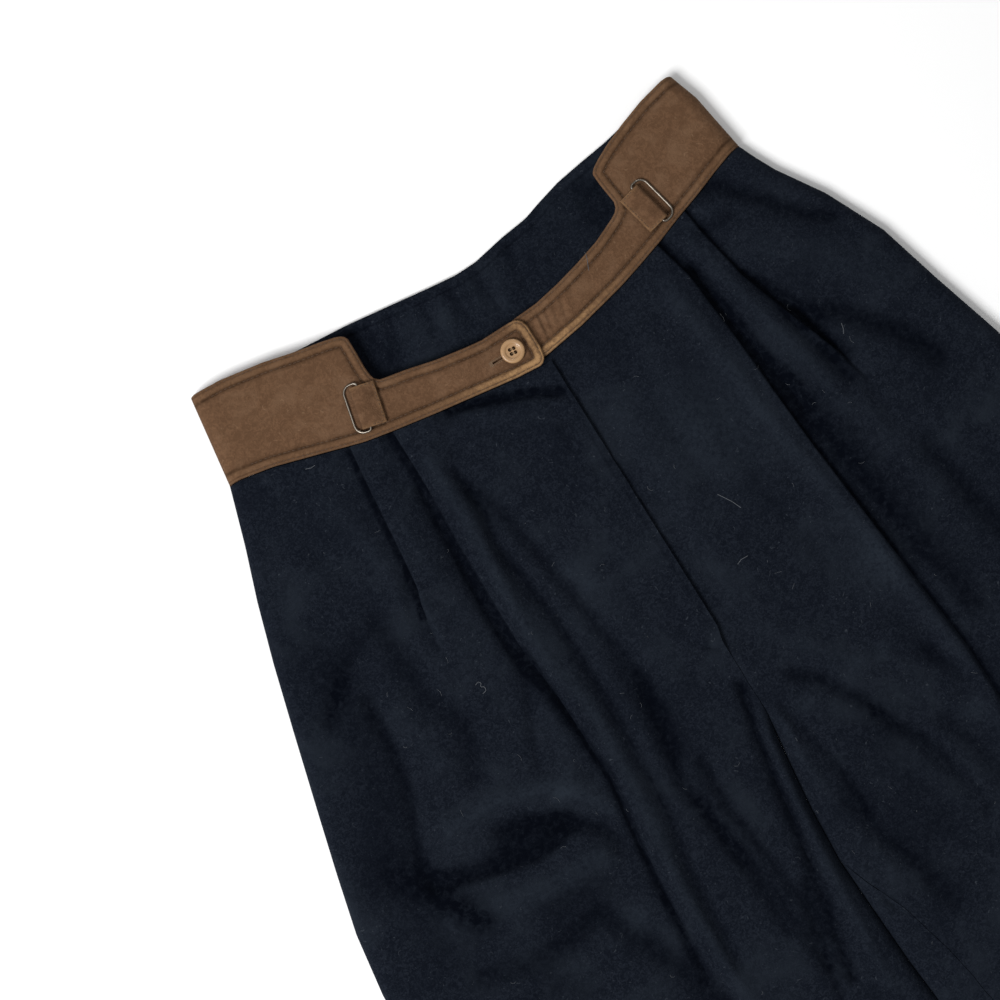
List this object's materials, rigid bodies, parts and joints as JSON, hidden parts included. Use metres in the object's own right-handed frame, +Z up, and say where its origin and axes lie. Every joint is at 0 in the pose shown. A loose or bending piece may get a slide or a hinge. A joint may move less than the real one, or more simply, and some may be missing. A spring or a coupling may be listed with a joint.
{
  "type": "wool trousers",
  "caption": "Pleated dark wool trousers laid flat, with a stepped brown front waistband, side adjuster tabs with wire rings and a buttoned fly.",
  "frame": {"origin": "middle of the outline, seen from above, on the surface that the trousers lie on", "axes": "+Y along the centre front from the hems to the waist, +X to the wearer's left, +Z up from the surface, out of the front"},
  "size_m": [0.5754, 1.0608, 0.0174],
  "materials": {
    "front_right": "matt wool",
    "front_left": "matt wool",
    "back_right": "matt wool",
    "back_left": "matt wool",
    "band_right": "matt felted wool",
    "band_left": "matt felted wool",
    "band_back": "matt felted wool",
    "facing_back": "matt wool",
    "tab_right": "matt felted wool",
    "tab_left": "matt felted wool",
    "ring_right": "satin wire",
    "ring_left": "satin wire",
    "button": "satin"
  },
  "bodies": {
    "garment": {"front_right": "front_right", "front_left": "front_left", "back_right": "back_right", "back_left": "back_left", "band_right": "band_right", "band_left": "band_left", "band_back": "band_back", "facing_back": "facing_back", "tab_right": "tab_right", "tab_left": "tab_left", "button": "button"},
    "ring_right_body": {"ring_right": "ring_right"},
    "ring_left_body": {"ring_left": "ring_left"}
  },
  "joints": [
    {"name": "ring_right_swing", "type": "hinge", "parent": "garment", "child": "ring_right_body", "pos_m": [-0.10285, 0.45765, 0.0151], "axis": [0.225, 0.9744, 0], "range_deg": [0, 150]},
    {"name": "ring_left_swing", "type": "hinge", "parent": "garment", "child": "ring_left_body", "pos_m": [0.10865, 0.47025, 0.0151], "axis": [0.225, -0.9744, 0], "range_deg": [0, 150]}
  ]
}
